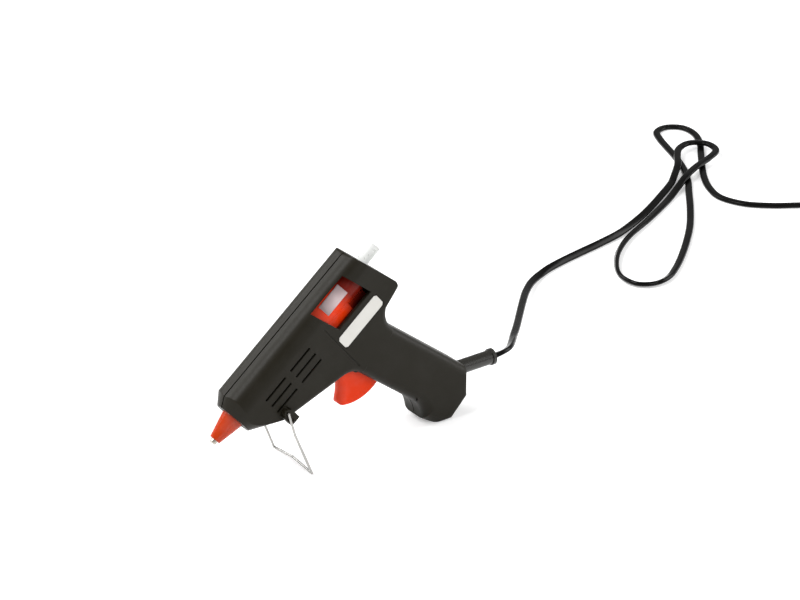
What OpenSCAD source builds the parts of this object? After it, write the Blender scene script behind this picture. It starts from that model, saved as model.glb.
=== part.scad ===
// Hot glue applicator: a small trigger-fed hot-melt gun on its wire stand.
// Barrel frame: x runs back from the nozzle tip, z runs up from the barrel axis,
// y runs to the right-hand side. Every node is then pitched and stood on the floor.

/* [Standing attitude] */
// Nose-down pitch of the barrel when the applicator stands, degrees
stand_pitch = 39; // [32:0.5:46]
// Height of the nozzle tip above the floor
tip_height = 29; // [20:0.5:40]
// Distance from the nozzle tip to the middle of the standing length
centre_x = 97.7; // [80:0.1:120]

/* [Casing] */
// Half of the casing width
half_w = 13.5; // [11:0.5:17]
// Casing wall thickness
wall = 2.2; // [1.6:0.1:3]
// Height of the casing top above the barrel axis
body_top = 15.1; // [13:0.1:18]
// Radius of the long top shoulders
shoulder_r = 10.5; // [7:0.5:12]
// Radius of the grip edges
grip_edge_r = 6; // [3:0.5:8]
// Radius of the belly edges
belly_edge_r = 4; // [2:0.5:6]
// Position of the nose face
nose_x = 18; // [14:0.5:22]
// Radius of the nose cone at the nose face
nose_r = 11.2; // [9:0.1:13]
// Growth of the nose cone radius per millimetre
nose_slope = 0.68; // [0.4:0.02:1]
// Depth of the belly line under the nose face
belly_drop = 15.4; // [12:0.2:18]
// Slope of the belly line, degrees
belly_slope = 18; // [12:0.5:24]
// Lean of the grip and of the rear face, degrees
grip_lean = 13; // [8:0.5:18]
// Rear face of the casing, measured square to the grip
rear_g = 128.5; // [120:0.5:136]
// Underside of the rear overhang, measured along the grip
under_h = 52.6; // [50:0.2:60]
// Back line of the grip, measured square to the grip
back_g = 104.9; // [98:0.1:112]
// Front line of the grip, measured square to the grip
front_g = 73; // [66:0.5:78]
// Forward reach of the toe beyond the front line
toe_out = 7.4; // [4:0.2:10]
// End of the toe, measured along the grip
toe_end = 125.5; // [122:0.5:129]
// Radius of the sweep from the grip front into the toe
toe_r = 20; // [14:0.5:28]
// Radius of the toe edges
toe_edge_r = 9; // [5:0.5:11]
// End of the grip back, measured along the grip
back_h = 132.4; // [126:0.5:142]
// Height of the upright rear face of the butt
butt_face = 18; // [14:0.5:24]
// Rear end of the floor facet, along the barrel
facet_rear = 104; // [100:0.5:112]
// Front end of the floor facet, along the barrel
facet_front = 95.3; // [88:0.5:99]
// Radius of the butt edges
butt_edge_r = 3.2; // [2.4:0.1:5]
// Radius of the rear lower corner
rear_r = 6; // [4:0.5:9]
// Radius of the rear top corner
rear_top_r = 3.4; // [2.8:0.2:5]
// Radius of the edges under the rear overhang
under_edge_r = 2.6; // [2.4:0.1:4]
// Radius of the saddle between grip and rear overhang
saddle_r = 13; // [8:0.5:15]
// Radius of the arch over the trigger
arch_r = 12; // [8:0.5:16]
// Width of the joint line between the casing halves
seam = 0.7; // [0.1:0.05:0.9]

/* [Casing openings] */
// Front end of the window at its lower edge
win_front = 93.6; // [88:0.2:100]
// Length of the window
win_len = 27.8; // [20:0.2:34]
// Lower edge of the window
win_low = -7.8; // [-12:0.2:-4]
// Upper edge of the window
win_high = 12.8; // [8:0.2:14]
// Length of one vent slot
vent_len = 17; // [10:0.5:20]
// Width of one vent slot
vent_w = 1.4; // [0.8:0.1:2]
// Spacing of the vent slots
vent_step = 6; // [4:0.2:8]
// Start of the front row of vents
vent_x1 = 36.2; // [32:0.2:42]
// Start of the rear row of vents
vent_x2 = 57.6; // [54:0.2:62]
// Height of the top vent in each row
vent_z = 0.8; // [-4:0.2:4]
// Depth of the label pocket and of the panel line
relief = 0.3; // [0.2:0.05:0.6]

/* [Nozzle and heater] */
// Radius of the metal nozzle tip
tip_r = 2.1; // [1.5:0.1:3]
// Length of metal that shows in front of the cover
tip_show = 2.3; // [1.5:0.1:4]
// Front radius of the nozzle cover
cover_r1 = 3.3; // [2.8:0.1:4.5]
// Rear radius of the nozzle cover at the nose face
cover_r2 = 6.8; // [5.5:0.1:8]
// Radius of the melt chamber
chamber_r = 6; // [5:0.1:7]
// Rear end of the melt chamber
chamber_end = 58; // [50:0.5:64]

/* [Feed] */
// Glue stick diameter
stick_d = 7.2; // [6.8:0.1:7.6]
// Rear end of the glue stick
stick_end = 143.6; // [134:0.2:150]
// Front end of the glue stick
stick_front = 48; // [44:0.5:54]
// Radial clearance around the glue stick
stick_gap = 0.3; // [0.2:0.05:0.6]
// Outer radius of the stick guide
guide_r = 5.2; // [4.8:0.1:6]
// Outer radius of the feed carriage
carriage_r = 10; // [8.5:0.1:10.4]
// Reach of the feed carriage in front of the trigger arm
carriage_lead = 3; // [1:0.2:6]
// Length of the feed carriage
carriage_len = 33; // [26:0.5:38]
// Wire diameter of the return spring
spring_wire = 0.8; // [0.5:0.1:1.2]
// Curls of the return spring
spring_turns = 9; // [6:1:14]

/* [Trigger] */
// Pivot position along the barrel
pivot_x = 86; // [80:0.5:92]
// Pivot depth below the barrel axis
pivot_z = -38; // [-44:0.5:-32]
// Radius of the trigger sector
sector_r = 27; // [22:0.2:30]
// Width of the trigger
trigger_w = 9; // [6:0.5:12]
// Length of the trigger arm
arm_len = 26; // [22:0.5:30]
// Backward lean of the arm at rest, degrees
arm_lean = 9; // [5:0.5:12]
// Radius of the pivot pin
pin_r = 1.5; // [1:0.1:2.5]
// Running clearance of the pivot pin
pin_gap = 0.05; // [0.02:0.01:0.1]
// Side clearance of the trigger in its slot
slot_gap = 0.4; // [0.3:0.1:0.8]

/* [Wire stand] */
// Diameter of the stand wire
stand_wire = 1.4; // [1.2:0.1:2.4]
// Pivot position along the barrel
stand_x = 39.2; // [34:0.2:46]
// Pivot depth below the barrel axis
stand_z = -14.8; // [-18:0.2:-10]
// Half spacing of the wire legs at the pivot
leg_y = 17.9; // [16:0.1:20]
// Half spacing of the feet
foot_y = 19.2; // [17:0.1:24]
// Position of the feet along the barrel
foot_x = 24; // [18:0.5:30]
// Running clearance of the wire in the ears
stand_gap = 0.08; // [0.02:0.01:0.1]
// Rise of the foot bar at its middle
bar_rise = 2; // [0:0.5:4]

/* [Mains lead] */
// Width of the flat lead
cord_w = 5; // [4:0.1:6]
// Thickness of the flat lead
cord_t = 3; // [2.4:0.1:4]
// Radius of the strain relief sleeve
sleeve_r = 4.4; // [3.6:0.1:4.8]
// Length of the strain relief outside the casing
sleeve_len = 25.5; // [16:0.5:32]
// Share of the butt face that lies above the strain relief
sleeve_drop = 0.34; // [0.34:0.01:0.55]
// Mean radius of the put-away coil
coil_r = 27; // [24:0.5:32]
// Turns in the put-away coil
coil_turns = 2.25; // [1.25:0.5:4.25]
// Rise per turn of the put-away coil
coil_pitch = 3.6; // [3.4:0.1:5]
// Length of the plug body
plug_len = 36; // [30:1:42]
// Width of the plug body
plug_w = 34; // [28:1:38]
// Thickness of the plug body
plug_t = 13.6; // [12:0.2:16]

/* [Hidden] */
$fn = 48;
eps = 0.01;
// Least radius of an inner edge
least_r = 0.2;
sp = sin(stand_pitch);
cp = cos(stand_pitch);
sl = sin(grip_lean);
cl = cos(grip_lean);
// Barrel-frame point from a distance square to the grip and one along it
function from_grip(g, h) = [g * cl + h * sl, g * sl - h * cl];
// Barrel-frame depth of the floor under a barrel position
function floor_z(x) = (-tip_height - x * sp) / cp;
// World position of a barrel-frame point
function to_world(p) = [p[0] * cp - p[1] * sp - centre_x, 0, p[0] * sp + p[1] * cp + tip_height];
butt_back = from_grip(back_g, back_h);
butt_low = [butt_back[0] - butt_face * sp, butt_back[1] - butt_face * cp];
sleeve_root = [butt_back[0] - sleeve_drop * butt_face * sp, butt_back[1] - sleeve_drop * butt_face * cp];
exit_w = to_world(sleeve_root);
facet_a = [facet_rear, floor_z(facet_rear)];
facet_b = [facet_front, floor_z(facet_front)];
toe_tip = from_grip(front_g - toe_out, toe_end);
toe_turn = acos(1 - toe_out / toe_r);
toe_start = toe_end - toe_r * sin(toe_turn);
toe_mid = from_grip(front_g - toe_r, toe_start);
arm_tip = [pivot_x + arm_len * sin(arm_lean), pivot_z + arm_len * cos(arm_lean)];
carriage_x = arm_tip[0] - carriage_lead;
bore_r = stick_d / 2 + stick_gap;
inlet_x = rear_g - 8.5;
foot_z = floor_z(foot_x) + stand_wire / 2 / cp;
screw_spots = [[49, -19.2], [127, -19], [108, -76], [112, -110]];
screw_r = 1.2;
boss_r = 2.8;
ear_r = 2.2;
ear_w = 6.8;
ear_len = 8.4;
seam_y = seam / 2;
guide_flange_x = 62;
spring_r = 6.7;
spring_x = guide_flange_x + 2.2;

// Lead route, floor positions in millimetres
lead_z = cord_t / 2 + 0.1;
over_z = lead_z + cord_t + 0.5;
// End of the free stretch, where the coil begins
lead_end = [460, 62];
route = [
  [exit_w[0] - 13, 0, exit_w[2]], [exit_w[0] + 3, 0, exit_w[2]], [exit_w[0] + 15, 0, exit_w[2]],
  [exit_w[0] + 24, 0, exit_w[2]], [exit_w[0] + 31, 0, exit_w[2]], [108.6, 0.9, 24], [115, 4.4, 23.2],
  [122.8, 12, 21.4], [132, 22, 18.8], [144, 34.5, 16], [160, 52, 12.2], [177, 70.5, 8.6], [193, 87, 5.6],
  [208.5, 100, 3.2], [225, 108.6, 1.9], [243, 113.4, lead_z],
  [262, 117, lead_z], [282, 120.6, lead_z], [304, 126, lead_z], [334, 139, lead_z], [364, 156, lead_z],
  [380, 166, lead_z], [391, 174.5, 3.4], [402, 184, over_z], [411, 195, over_z], [421, 204.5, over_z],
  [433, 207.5, over_z], [442, 199.5, over_z], [439.5, 187, over_z], [426.5, 179.5, over_z],
  [410, 173.5, over_z], [394, 165.5, over_z], [380, 158, 3], [361, 147, lead_z], [331, 131, lead_z],
  [303, 117.5, lead_z], [282, 103, lead_z], [267.5, 87.5, lead_z], [259.5, 73, lead_z], [261, 60, lead_z],
  [270.5, 53.5, lead_z], [283, 55, lead_z], [297, 63.5, lead_z], [313, 76, lead_z], [330, 91, lead_z],
  [347, 107.5, lead_z], [365, 128, lead_z], [382, 149, lead_z], [394, 164, lead_z], [405, 181, lead_z],
  [414, 200, lead_z], [420.5, 217, lead_z], [426, 231, lead_z], [432.5, 242, lead_z], [443.5, 245, lead_z],
  [452.5, 237.5, lead_z], [452, 224, lead_z], [444, 209, lead_z], [432, 194, lead_z], [419, 178, lead_z],
  [407, 162, lead_z], [398, 146, lead_z], [394, 130, lead_z], [400, 113, lead_z], [413, 100, lead_z],
  [428, 90, lead_z], [444, 79, lead_z],
  [lead_end[0], lead_end[1], lead_z]];
coil_dir = unit([16, -17]);
coil_lead = 5;
coil_start = lead_end + coil_lead * coil_dir;
coil_mid = [coil_start[0] + coil_r * coil_dir[1], coil_start[1] - coil_r * coil_dir[0]];
coil_from = atan2(coil_start[1] - coil_mid[1], coil_start[0] - coil_mid[0]);
coil_to = coil_from - 360 * coil_turns;
coil_top = lead_z + coil_pitch * coil_turns;
plug_stub = 34;
plug_pin_r = 2;
plug_pin_y = 9.3;
plug_pin_in = 8;
plug_pin_len = 26;
plug_pin_gap = 0.02;
plug_dir = [sin(coil_to), -cos(coil_to)];
coil_out = [coil_mid[0] + coil_r * cos(coil_to), coil_mid[1] + coil_r * sin(coil_to)];
plug_at = [coil_out[0] + plug_dir[0] * plug_stub, coil_out[1] + plug_dir[1] * plug_stub];

// Smooth curve through a list of points, steps pieces to each span
function spline(p, i, t) = let(n = len(p) - 1, a = p[max(i - 1, 0)], b = p[i], c = p[min(i + 1, n)],
  d = p[min(i + 2, n)]) 0.5 * (2 * b + (c - a) * t + (2 * a - 5 * b + 4 * c - d) * t * t
  + (3 * b - a - 3 * c + d) * t * t * t);
function smooth(p, steps) = concat([for (i = [0:len(p) - 2]) for (k = [0:steps - 1]) spline(p, i, k / steps)],
  [p[len(p) - 1]]);
function unit(v) = v / norm(v);
// Flat section whose long faces are straight
function flat_ring(path, i, w, t) = let(n = len(path) - 1,
  d = unit(path[min(i + 1, n)] - path[max(i - 1, 0)]), s = unit(cross([0, 0, 1], d)), u = cross(d, s))
  [for (q = [[1, 0.4], [0.72, 1], [-0.72, 1], [-1, 0.4], [-1, -0.4], [-0.72, -1], [0.72, -1], [1, -0.4]])
    path[i] + s * w / 2 * q[0] + u * t / 2 * q[1]];
// Length of a path
function run(p, i = 0) = i >= len(p) - 1 ? 0 : norm(p[i + 1] - p[i]) + run(p, i + 1);
// Least distance between two turns of a path, looking ahead by a count of rings
function least(p, ahead) = min([for (i = [0:len(p) - 1 - ahead]) for (k = [i + ahead:len(p) - 1])
  norm(p[i] - p[k])]);

// Skin over a stack of equal rings, closed at both ends
module skin(rings) {
  n = len(rings);
  m = len(rings[0]);
  polyhedron(points = [for (r = rings) for (p = r) p],
    faces = concat([[for (k = [0:m - 1]) k]],
      [for (i = [0:n - 2]) for (k = [0:m - 1])
        let(a = i * m + k, b = i * m + (k + 1) % m) each [[a, b + m, b], [a, a + m, b + m]]],
      [[for (k = [0:m - 1]) n * m - 1 - k]]));
}

// Placing helpers
module stood() {
  translate([-centre_x, 0, tip_height]) rotate([0, -stand_pitch, 0]) children();
}

module grip_frame() {
  rotate([0, -grip_lean, 0]) children();
}

module across(width) {
  rotate([90, 0, 0]) linear_extrude(height = width, center = true) children();
}

module along(length) {
  rotate([90, 0, 90]) linear_extrude(height = length) children();
}

module pegged(x, z, r, y0, y1) {
  translate([x, y0, z]) rotate([-90, 0, 0]) cylinder(r = r, h = y1 - y0);
}

// Section with two round corners at its low edge
module low_round(low, high, w, edge) {
  r = max(edge, least_r);
  translate([-w, low + r]) square([2 * w, high - low - r]);
  translate([-w + r, low]) square([2 * w - 2 * r, r + eps]);
  for (s = [-1, 1]) translate([s * (w - r), low + r]) circle(r);
}

// Section with four round corners, long way in x
module four_round(x0, x1, w, r) {
  translate([x0 + r, -w]) square([x1 - x0 - 2 * r, 2 * w]);
  translate([x0, -w + r]) square([x1 - x0, 2 * w - 2 * r]);
  for (x = [x0 + r, x1 - r]) for (s = [-1, 1]) translate([x, s * (w - r)]) circle(r);
}

// Middle of the rounded corner between the casing top and the rear face
rear_top_h = ((rear_g - rear_top_r) * sl - body_top + rear_top_r) / cl;
rear_top = from_grip(rear_g - rear_top_r, rear_top_h);

// Casing form, drawn inside its outer face by d
module barrel_form(d) {
  w = half_w - d;
  sr = shoulder_r - d;
  intersection() {
    along(160) {
      translate([0, body_top - shoulder_r]) union() {
        translate([-w, -90]) square([2 * w, 90]);
        translate([-(half_w - shoulder_r), -eps]) square([2 * (half_w - shoulder_r), sr + eps]);
        for (s = [-1, 1]) translate([s * (half_w - shoulder_r), 0]) circle(sr);
      }
    }
    grip_frame() translate([-20, 0, -under_h + d]) along(rear_g - d + 20)
      low_round(0, 150, w, under_edge_r - d);
    translate([nose_x, 0, -belly_drop]) rotate([0, belly_slope, 0]) translate([-30, 0, d]) along(200)
      low_round(0, 150, w, belly_edge_r - d);
    grip_frame() translate([-20, 0, -under_h + d]) across(2 * w) {
      square([rear_g + 20 - rear_r, 150]);
      translate([0, rear_r - d]) square([rear_g + 20 - d, 150]);
      translate([rear_g + 20 - rear_r, rear_r - d]) circle(rear_r - d);
    }
    across(2 * half_w + 4) {
      translate([-20, -150]) square([rear_top[0] + 20, 200]);
      rotate(grip_lean) translate([-20, -rear_top_h - 200]) square([rear_g + 40, 200]);
      translate(rear_top) circle(max(rear_top_r - d, least_r));
    }
    translate([nose_x + d, 0, 0]) rotate([0, 90, 0])
      cylinder(r1 = nose_r - d * 0.6, r2 = nose_r - d * 0.6 + nose_slope * 140, h = 140);
  }
}

// Side of a form: keeps what lies left of the line p to q, with rounded long edges
module facet(p, q, w, r, d) {
  turn = atan2(q[1] - p[1], q[0] - p[0]);
  translate([p[0], 0, p[1]]) rotate([0, -turn, 0]) translate([-90, 0, d]) along(200) low_round(0, 150, w, r);
}

// Flats that close the foot of the grip
module butt_flats(d) {
  w = half_w - d;
  r = butt_edge_r - d;
  intersection() {
    facet(toe_tip, facet_b, w, r + 1.8, d);
    facet(facet_b, facet_a, w, r, d);
    facet(facet_a, butt_low, w, r - 0.3, d);
    facet(butt_low, butt_back, w, r, d);
  }
}

// Grip with the toe that sweeps out of its front
module grip_form(d) {
  w = half_w - d;
  intersection() {
    union() {
      grip_frame() translate([0, 0, -170]) linear_extrude(height = 150)
        four_round(front_g + d, back_g - d, w, grip_edge_r - d);
      difference() {
        grip_frame() translate([0, 0, -170]) linear_extrude(height = 170 - toe_start)
          four_round(front_g - toe_out + d, back_g - 8, w, toe_edge_r - d);
        pegged(toe_mid[0], toe_mid[1], toe_r + d + 0.15, -half_w - 1, half_w + 1);
      }
    }
    butt_flats(d);
  }
}

// Web outside a radius r about an axis across the casing, with round long edges
module web(mid, r, w, edge, from, to, deep = 10) {
  translate([mid[0], 0, mid[1]]) rotate([90, 0, 0]) rotate([0, 0, from]) rotate_extrude(angle = to - from)
    translate([r, 0]) union() {
      translate([edge, -w]) square([deep, 2 * w]);
      translate([0, -w + edge]) square([edge + eps, 2 * w - 2 * edge]);
      for (s = [-1, 1]) translate([edge, s * (w - edge)]) circle(edge);
    }
}

saddle_mid = from_grip(back_g + saddle_r, under_h + saddle_r);
saddle_edge_r = (grip_edge_r + under_edge_r) / 2;
belly_at = [nose_x, -belly_drop];
// Meeting point of the belly line and the grip front line
arch_x = (front_g - sl * (belly_at[1] + belly_at[0] * tan(belly_slope))) / (cl - sl * tan(belly_slope));
arch_z = belly_at[1] - (arch_x - belly_at[0]) * tan(belly_slope);
arch_turn = 1 + sin(belly_slope) * cl + cos(belly_slope) * sl;
arch_n = [-sin(belly_slope) - cl, -cos(belly_slope) - sl] / arch_turn;
arch_mid = [arch_x + arch_r * arch_n[0], arch_z + arch_r * arch_n[1]];

module casing_form(d) {
  barrel_form(d);
  grip_form(d);
  web(saddle_mid, saddle_r + d, half_w - d, saddle_edge_r - d, 90 + grip_lean, 180 + grip_lean);
  web(arch_mid, arch_r + d, half_w - d, belly_edge_r - d, grip_lean, 90 - belly_slope);
}

// Sloped window, cut through one side
module window_cut(side) {
  lean = (win_high - win_low) * tan(grip_lean);
  translate([0, side * 14, 0]) across(16)
    polygon([[win_front, win_low], [win_front + win_len, win_low],
      [win_front + win_len - lean, win_high], [win_front - lean, win_high]]);
}

module vents(side) {
  for (x = [vent_x1, vent_x2]) for (k = [0:2])
    translate([x, side * half_w - 3, vent_z - k * vent_step - vent_w / 2]) cube([vent_len, 6, vent_w]);
}

// Shallow panel line across the side and the pocket for the plate
module side_relief(side) {
  translate([87, side * half_w - relief, -37]) cube([0.7, 2 * relief, 38]);
}

module plate_pocket() {
  translate([88.6, -half_w - relief, -21.2]) cube([34, 2 * relief, 9.8]);
}

// Ear on the casing side that carries one end of the stand, with a stop behind the leg
module lug(side) {
  in_y = half_w - 1.5;
  ear_y = leg_y - stand_wire / 2 - 0.3;
  flip = side > 0 ? [0, 0, 0] : [0, 1, 0];
  mirror(flip) {
    pegged(stand_x, stand_z, ear_r, in_y, ear_y);
    translate([stand_x - ear_w / 2, in_y, stand_z - ear_len]) cube([ear_w, ear_y - in_y, ear_len]);
    pegged(stand_stop[0], stand_stop[1], stop_r, ear_y - 0.5, leg_y + 0.9);
  }
}

// Inner fittings of one casing half
module fittings(side) {
  y0 = side > 0 ? 0 : -half_w + wall - 0.3;
  y1 = side > 0 ? half_w - wall + 0.3 : 0;
  for (p = screw_spots) pegged(p[0], p[1], boss_r, y0, y1);
  // Pivot bosses beside the trigger
  slot_y = trigger_w / 2 + slot_gap;
  pegged(pivot_x, pivot_z, 3.2, side > 0 ? slot_y : y0, side > 0 ? y1 : -slot_y);
  // Saddles for the melt chamber
  for (x = [31, 52]) difference() {
    translate([x - 1, side > 0 ? 3 : y0, -10.5]) cube([2, half_w - wall - 2.7, 13.5]);
    rotate([0, 90, 0]) cylinder(r = chamber_r + 0.05, h = 160);
    translate([x - 2, -5.2, -12.6]) cube([4, 10.4, 12]);
  }
  // Pair of ribs that holds the flange of the stick guide
  for (x = [guide_flange_x - 2.3, guide_flange_x + 2.4]) {
    rib_y = x < guide_flange_x ? guide_r + 0.05 : spring_r + spring_wire / 2 + 0.4;
    translate([x - 1, side > 0 ? rib_y : y0, -7.6]) cube([2, half_w - wall + 0.3 - rib_y, 13]);
  }
  // Rear collar that leads the stick in
  intersection() {
    translate([inlet_x + 4, side > 0 ? 0 : -8, -8]) cube([8.2, 8, 16]);
    difference() {
      translate([inlet_x + 4, 0, 0]) rotate([0, 90, 0]) cylinder(r = 6.4, h = 10);
      translate([inlet_x, 0, 0]) rotate([0, 90, 0]) cylinder(r = bore_r + 0.2, h = 20);
    }
    barrel_form(wall - 0.4);
  }
}

// Reach of the trigger slot in front of the pivot
slot_front = 16.5;

module casing_half(side) {
  difference() {
    union() {
      difference() {
        casing_form(0);
        casing_form(wall);
      }
      fittings(side);
      lug(side);
    }
    // The other half and the joint line
    translate([-20, side > 0 ? -60 + seam_y : -seam_y, -150]) cube([200, 60, 190]);
    window_cut(side);
    vents(side);
    side_relief(side);
    if (side < 0) plate_pocket();
    // Nose hole, stick inlet, trigger slot, lead outlet
    rotate([0, 90, 0]) cylinder(r = cover_r2 + 0.5, h = 26);
    translate([inlet_x, 0, 0]) rotate([0, 90, 0]) cylinder(r = bore_r + 0.2, h = 40);
    intersection() {
      pegged(pivot_x, pivot_z, sector_r + 0.7, -trigger_w / 2 - slot_gap, trigger_w / 2 + slot_gap);
      translate([pivot_x - slot_front, -20, pivot_z - 42]) cube([60, 40, 64]);
    }
    translate([sleeve_root[0], 0, sleeve_root[1]]) rotate([0, 90 + stand_pitch, 0]) translate([0, 0, -8])
      cylinder(r = sleeve_r + 0.15, h = 20);
    // Pin and screw holes
    pegged(pivot_x, pivot_z, pin_r + pin_gap, -half_w + 1, half_w - 1);
    pegged(stand_x, stand_z, stand_wire / 2 + stand_gap, -leg_y - 1, leg_y + 1);
    for (p = screw_spots) {
      pegged(p[0], p[1], screw_r + 0.05, -half_w + 2.5, half_w + 1);
      if (side > 0) pegged(p[0], p[1], 2.5, half_w - 2.4, half_w + 1);
    }
  }
}

module left_shell() {
  color([0.13, 0.13, 0.12]) stood() casing_half(-1);
}

module right_shell() {
  color([0.13, 0.13, 0.12]) stood() casing_half(1);
}

module casing_screws() {
  color([0.6, 0.6, 0.62]) stood() for (p = screw_spots) {
    pegged(p[0], p[1], screw_r, -half_w + 3, half_w - 2.3);
    difference() {
      pegged(p[0], p[1], 2.3, half_w - 2.4, half_w - 0.8);
      translate([p[0] - 1.6, half_w - 1.5, p[1] - 0.3]) cube([3.2, 2, 0.6]);
      translate([p[0] - 0.3, half_w - 1.5, p[1] - 1.6]) cube([0.6, 2, 3.2]);
    }
  }
}

// Soft cover over the nozzle, with a collar behind the nose wall
module nozzle_cover() {
  color([0.85, 0.2, 0.08]) stood() rotate([0, 90, 0]) difference() {
    union() {
      translate([0, 0, tip_show]) cylinder(r1 = cover_r1, r2 = cover_r2, h = nose_x - tip_show - 0.4);
      translate([0, 0, nose_x - 0.4 - eps]) cylinder(r = cover_r2, h = 3);
    }
    translate([0, 0, tip_show - 1]) cylinder(r = tip_r + 0.02, h = 8.7);
    translate([0, 0, 10]) cylinder(r = 4.02, h = 12);
  }
}

module nozzle_tip() {
  color([0.75, 0.73, 0.68]) stood() rotate([0, 90, 0]) difference() {
    union() {
      translate([0, 0, 0.5]) cylinder(r = tip_r, h = 9.5);
      cylinder(r1 = tip_r - 0.5, r2 = tip_r, h = 0.5 + eps);
      translate([0, 0, 10]) cylinder(r = 4, h = 14);
    }
    translate([0, 0, -1]) cylinder(r = 0.75, h = 8);
    translate([0, 0, 6]) cylinder(r1 = 0.75, r2 = 2.4, h = 6);
    translate([0, 0, 12 - eps]) cylinder(r = 2.4, h = 14);
  }
}

// Heated barrel with a pocket under it for the heater plate
module melt_chamber() {
  color([0.7, 0.71, 0.72]) stood() difference() {
    union() {
      translate([22, 0, 0]) rotate([0, 90, 0]) cylinder(r = chamber_r, h = chamber_end - 22);
      translate([31.5, -5, -12]) cube([25, 10, 9]);
    }
    translate([20, 0, 0]) rotate([0, 90, 0]) cylinder(r = 4.03, h = 4.1);
    translate([24, 0, 0]) rotate([0, 90, 0]) cylinder(r = 2.4, h = 8);
    translate([30, 0, 0]) rotate([0, 90, 0]) cylinder(r = bore_r, h = 40);
    translate([30, -3.7, -10.6]) cube([30, 7.4, 3.2]);
  }
}

module heater_plate() {
  color([0.85, 0.82, 0.74]) stood() translate([33, -3.5, -10.55]) cube([22, 7, 3.1]);
}

module front_bush() {
  color([0.55, 0.55, 0.53]) stood() translate([24.6, 0, 0]) rotate([0, 90, 0]) difference() {
    cylinder(r = 9.4, h = 4.6);
    translate([0, 0, -1]) cylinder(r = chamber_r + 0.02, h = 8);
  }
}

module stick_guide() {
  color([0.8, 0.79, 0.75]) stood() rotate([0, 90, 0]) difference() {
    union() {
      translate([0, 0, chamber_end + 0.1]) cylinder(r = guide_r, h = 22);
      translate([0, 0, guide_flange_x - 1.2]) cylinder(r = 9.6, h = 2.5);
    }
    translate([0, 0, chamber_end - 1]) cylinder(r = bore_r, h = 40);
  }
}

// Return spring around the stick guide
spring_path = [for (i = [0:spring_turns * 10]) let(t = i / 10)
  [spring_x + 0.6 + spring_wire / 2 + (carriage_x - spring_x - 0.8 - spring_wire) * t / spring_turns,
   spring_r * cos(360 * t), spring_r * sin(360 * t)]];
function wire_ring(path, i, r, sides) = let(n = len(path) - 1,
  d = unit(path[min(i + 1, n)] - path[max(i - 1, 0)]), s = unit([0, path[i][1], path[i][2]]), u = cross(d, s))
  [for (k = [0:sides - 1]) path[i] + s * r * cos(360 * k / sides) + u * r * sin(360 * k / sides)];

module return_spring() {
  echo(spring_self_gap = least(spring_path, 7) - spring_wire);
  color([0.7, 0.7, 0.72]) stood()
    skin([for (i = [0:len(spring_path) - 1]) wire_ring(spring_path, i, spring_wire / 2, 6)]);
}

// Length of the square skirt under the front of the carriage
skirt_len = 21;
// Depth of the skirt under the stick
skirt_deep = 12.5;
// Width of the narrower tail behind the skirt
tail_w = 12.6;
// Sliding carriage that grips the stick, with a fork under it for the trigger arm
module feed_carriage() {
  color([0.82, 0.16, 0.06]) stood() difference() {
    union() {
      translate([carriage_x, 0, 0]) rotate([0, 90, 0]) cylinder(r = carriage_r, h = carriage_len);
      translate([arm_tip[0] - 4.6, -4, -15]) cube([9.2, 8, 7]);
      translate([carriage_x, -3.4, 5]) cube([carriage_len, 6.8, carriage_r - 4.2]);
      translate([carriage_x, -carriage_r + 0.3, -skirt_deep])
        cube([skirt_len, 2 * carriage_r - 0.6, skirt_deep]);
      translate([carriage_x, -tail_w / 2, -skirt_deep]) cube([carriage_len, tail_w, skirt_deep]);
    }
    translate([carriage_x - 1, 0, 0]) rotate([0, 90, 0]) cylinder(r = guide_r + 0.35, h = 15);
    translate([carriage_x - 1, 0, 0]) rotate([0, 90, 0]) cylinder(r = bore_r, h = 60);
    translate([carriage_x + carriage_len - 6, 0, 0]) rotate([0, 90, 0]) cylinder(r = 6.53, h = 1.9);
    translate([arm_tip[0] - 2.5, -5, -16]) cube([5, 10, 7.2]);
  }
}

module stick_grip() {
  color([0.66, 0.66, 0.68]) stood() translate([carriage_x + carriage_len - 5.9, 0, 0]) rotate([0, 90, 0])
    difference() {
      cylinder(r = 6.5, h = 1.7);
      translate([0, 0, -1]) cylinder(r = stick_d / 2 + 0.05, h = 4);
    }
}

module glue_stick() {
  color([0.9, 0.9, 0.86]) stood() translate([stick_front, 0, 0]) rotate([0, 90, 0])
    cylinder(r = stick_d / 2, h = stick_end - stick_front);
}

// Trigger sector, hub and feed arm in one moulding
tip_a = 221;
tip_r2 = 3;
front_lean = 38;
sector_end = 284;
finger_r = 4;
rim_r = 1.4;
hollow_r = 32;
hollow = 1;
tip_c = [pivot_x + (sector_r - tip_r2) * cos(tip_a), pivot_z + (sector_r - tip_r2) * sin(tip_a)];
tip_low = [tip_c[0] - tip_r2 * cos(front_lean), tip_c[1] + tip_r2 * sin(front_lean)];
tip_high = [tip_low[0] + 26 * sin(front_lean), tip_low[1] + 26 * cos(front_lean)];
hollow_mid = [tip_low[0] + 9 * sin(front_lean) - (hollow_r - hollow) * cos(front_lean),
  tip_low[1] + 9 * cos(front_lean) + (hollow_r - hollow) * sin(front_lean)];
function spoke(a) = [pivot_x + 40 * cos(a), pivot_z + 40 * sin(a)];

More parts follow.
